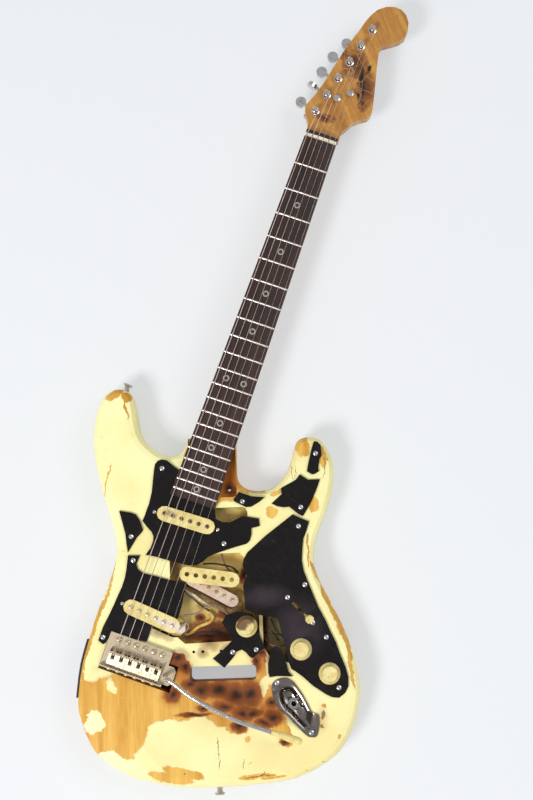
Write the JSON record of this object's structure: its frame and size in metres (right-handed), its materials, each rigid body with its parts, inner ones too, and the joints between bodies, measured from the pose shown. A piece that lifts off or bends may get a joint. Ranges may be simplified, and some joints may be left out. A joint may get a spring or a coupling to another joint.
{
  "type": "broken electric guitar",
  "caption": "Smashed double-cutaway electric guitar rebuilt askew: skewed bolt-on neck, moved vibrato bridge, shattered black pickguard, scorched worn cream body.",
  "frame": {"origin": "middle of the neck plate's outer face, in the plane that the guitar lies on", "axes": "+Y along the body's centreline towards the neck, +X to the treble side, +Z out of the face"},
  "size_m": [0.4208, 0.9422, 0.0774],
  "materials": {
    "cream_paint": "aged cream lacquer over solid wood, worn through, chipped and burnt",
    "maple": "aged amber lacquer over maple, scorched in places",
    "rosewood": "dark open-grained board with nickel silver frets",
    "bone": "polished bone white",
    "steel_wire": "plain and wound steel",
    "chrome": "polished chrome with light wear",
    "worn_nickel": "dull, stained nickel plating",
    "aged_plastic": "yellowed plastic",
    "white_plastic": "off-white plastic",
    "black_guard": "scuffed black ply plastic with broken edges",
    "cable": "yellow insulated cable",
    "black_rubber": "black tape strip"
  },
  "bodies": {
    "guitar": {"body": "cream_paint", "neck": "maple", "fretboard": "rosewood", "nut": "bone", "tuner_gearboxes": "chrome", "neck_plate": "chrome", "back_cover": "black_guard", "spring_claw": "steel_wire", "neck_pickup": "aged_plastic", "bridge_pickup": "aged_plastic", "middle_pickup": "white_plastic", "loose_pickup_cover": "aged_plastic", "jack_plate": "chrome", "strap_button_top": "chrome", "strap_button_bottom": "chrome", "side_strip": "black_rubber", "cavity_cable": "cable", "string_tree_1": "chrome", "string_tree_2": "chrome", "string_1": "steel_wire", "string_2": "steel_wire", "string_3": "steel_wire", "string_4": "steel_wire", "string_5": "steel_wire", "string_6": "steel_wire", "guard_upper": "black_guard", "guard_left_chip": "black_guard", "guard_lower_left": "black_guard", "guard_right": "black_guard", "guard_cutaway_chip": "black_guard", "guard_horn": "black_guard", "guard_horn_strip": "black_guard", "guard_volume": "black_guard", "guard_jack_chip": "black_guard"},
    "vibrato": {"bridge_plate": "worn_nickel", "vibrato_block": "worn_nickel", "saddle_1": "worn_nickel", "saddle_2": "worn_nickel", "saddle_3": "worn_nickel", "saddle_4": "worn_nickel", "saddle_5": "worn_nickel", "saddle_6": "worn_nickel"},
    "arm": {"vibrato_arm": "chrome", "arm_tip": "white_plastic"},
    "volume": {"volume_knob": "aged_plastic"},
    "tone_1": {"tone_knob_1": "aged_plastic"},
    "tone_2": {"tone_knob_2": "aged_plastic"},
    "selector": {"selector_lever": "aged_plastic"},
    "peg_1": {"tuner_button_1": "chrome"},
    "post_1": {"tuner_post_1": "chrome"},
    "peg_2": {"tuner_button_2": "chrome"},
    "post_2": {"tuner_post_2": "chrome"},
    "peg_3": {"tuner_button_3": "chrome"},
    "post_3": {"tuner_post_3": "chrome"},
    "peg_4": {"tuner_button_4": "chrome"},
    "post_4": {"tuner_post_4": "chrome"},
    "peg_5": {"tuner_button_5": "chrome"},
    "post_5": {"tuner_post_5": "chrome"},
    "peg_6": {"tuner_button_6": "chrome"},
    "post_6": {"tuner_post_6": "chrome"}
  },
  "joints": [
    {"name": "bridge_tilt", "type": "hinge", "parent": "guitar", "child": "vibrato", "pos_m": [-0.08647, -0.20497, 0.0496], "axis": [0.9344, -0.3562, 0], "range_deg": [-4, 1.5], "stiffness_Nm_per_rad": 5, "deforming": ["string_1", "string_2", "string_3", "string_4", "string_5", "string_6", "spring_claw"]},
    {"name": "arm_swing", "type": "hinge", "parent": "vibrato", "child": "arm", "pos_m": [-0.05942, -0.23786, 0.06], "axis": [0, 0, 1], "range_deg": [-50, 75]},
    {"name": "volume_turn", "type": "hinge", "parent": "guitar", "child": "volume", "pos_m": [0.0353, -0.1854, 0.05], "axis": [0, 0, 1], "range_deg": [0, 280]},
    {"name": "tone_1_turn", "type": "hinge", "parent": "guitar", "child": "tone_1", "pos_m": [0.0969, -0.2132, 0.05], "axis": [0, 0, 1], "range_deg": [0, 280]},
    {"name": "tone_2_turn", "type": "hinge", "parent": "guitar", "child": "tone_2", "pos_m": [0.1286, -0.2414, 0.05], "axis": [0, 0, 1], "range_deg": [0, 280]},
    {"name": "selector_throw", "type": "hinge", "parent": "guitar", "child": "selector", "pos_m": [0.0975, -0.1688, 0.028], "axis": [0.7254, 0.6884, 0], "range_deg": [-51, 0]},
    {"name": "peg_6_turn", "type": "hinge", "parent": "guitar", "child": "peg_6", "pos_m": [0.141, 0.43872, 0.0274], "axis": [-0.8103, 0.5859, 0], "continuous": true},
    {"name": "post_6_turn", "type": "hinge", "parent": "guitar", "child": "post_6", "pos_m": [0.1373, 0.43361, 0.046], "axis": [0, 0, 1], "continuous": true},
    {"name": "peg_5_turn", "type": "hinge", "parent": "guitar", "child": "peg_5", "pos_m": [0.15621, 0.45976, 0.0274], "axis": [-0.8103, 0.5859, 0], "continuous": true},
    {"name": "post_5_turn", "type": "hinge", "parent": "guitar", "child": "post_5", "pos_m": [0.15223, 0.45425, 0.046], "axis": [0, 0, 1], "continuous": true},
    {"name": "peg_4_turn", "type": "hinge", "parent": "guitar", "child": "peg_4", "pos_m": [0.16867, 0.477, 0.0274], "axis": [-0.8103, 0.5859, 0], "continuous": true},
    {"name": "post_4_turn", "type": "hinge", "parent": "guitar", "child": "post_4", "pos_m": [0.16715, 0.47489, 0.046], "axis": [0, 0, 1], "continuous": true},
    {"name": "peg_3_turn", "type": "hinge", "parent": "guitar", "child": "peg_3", "pos_m": [0.18278, 0.4965, 0.0274], "axis": [-0.8103, 0.5859, 0], "continuous": true},
    {"name": "post_3_turn", "type": "hinge", "parent": "guitar", "child": "post_3", "pos_m": [0.18208, 0.49553, 0.046], "axis": [0, 0, 1], "continuous": true},
    {"name": "peg_2_turn", "type": "hinge", "parent": "guitar", "child": "peg_2", "pos_m": [0.197, 0.51617, 0.0274], "axis": [-0.8103, 0.5859, 0], "continuous": true},
    {"name": "post_2_turn", "type": "hinge", "parent": "guitar", "child": "post_2", "pos_m": [0.197, 0.51617, 0.046], "axis": [0, 0, 1], "continuous": true},
    {"name": "peg_1_turn", "type": "hinge", "parent": "guitar", "child": "peg_1", "pos_m": [0.21192, 0.53681, 0.0274], "axis": [-0.8103, 0.5859, 0], "continuous": true},
    {"name": "post_1_turn", "type": "hinge", "parent": "guitar", "child": "post_1", "pos_m": [0.21192, 0.53681, 0.046], "axis": [0, 0, 1], "continuous": true}
  ],
  "couplings": [
    {"joint": "post_6_turn", "follows": "peg_6_turn", "ratio": 0.066667},
    {"joint": "post_5_turn", "follows": "peg_5_turn", "ratio": 0.066667},
    {"joint": "post_4_turn", "follows": "peg_4_turn", "ratio": 0.066667},
    {"joint": "post_3_turn", "follows": "peg_3_turn", "ratio": 0.066667},
    {"joint": "post_2_turn", "follows": "peg_2_turn", "ratio": 0.066667},
    {"joint": "post_1_turn", "follows": "peg_1_turn", "ratio": 0.066667}
  ]
}
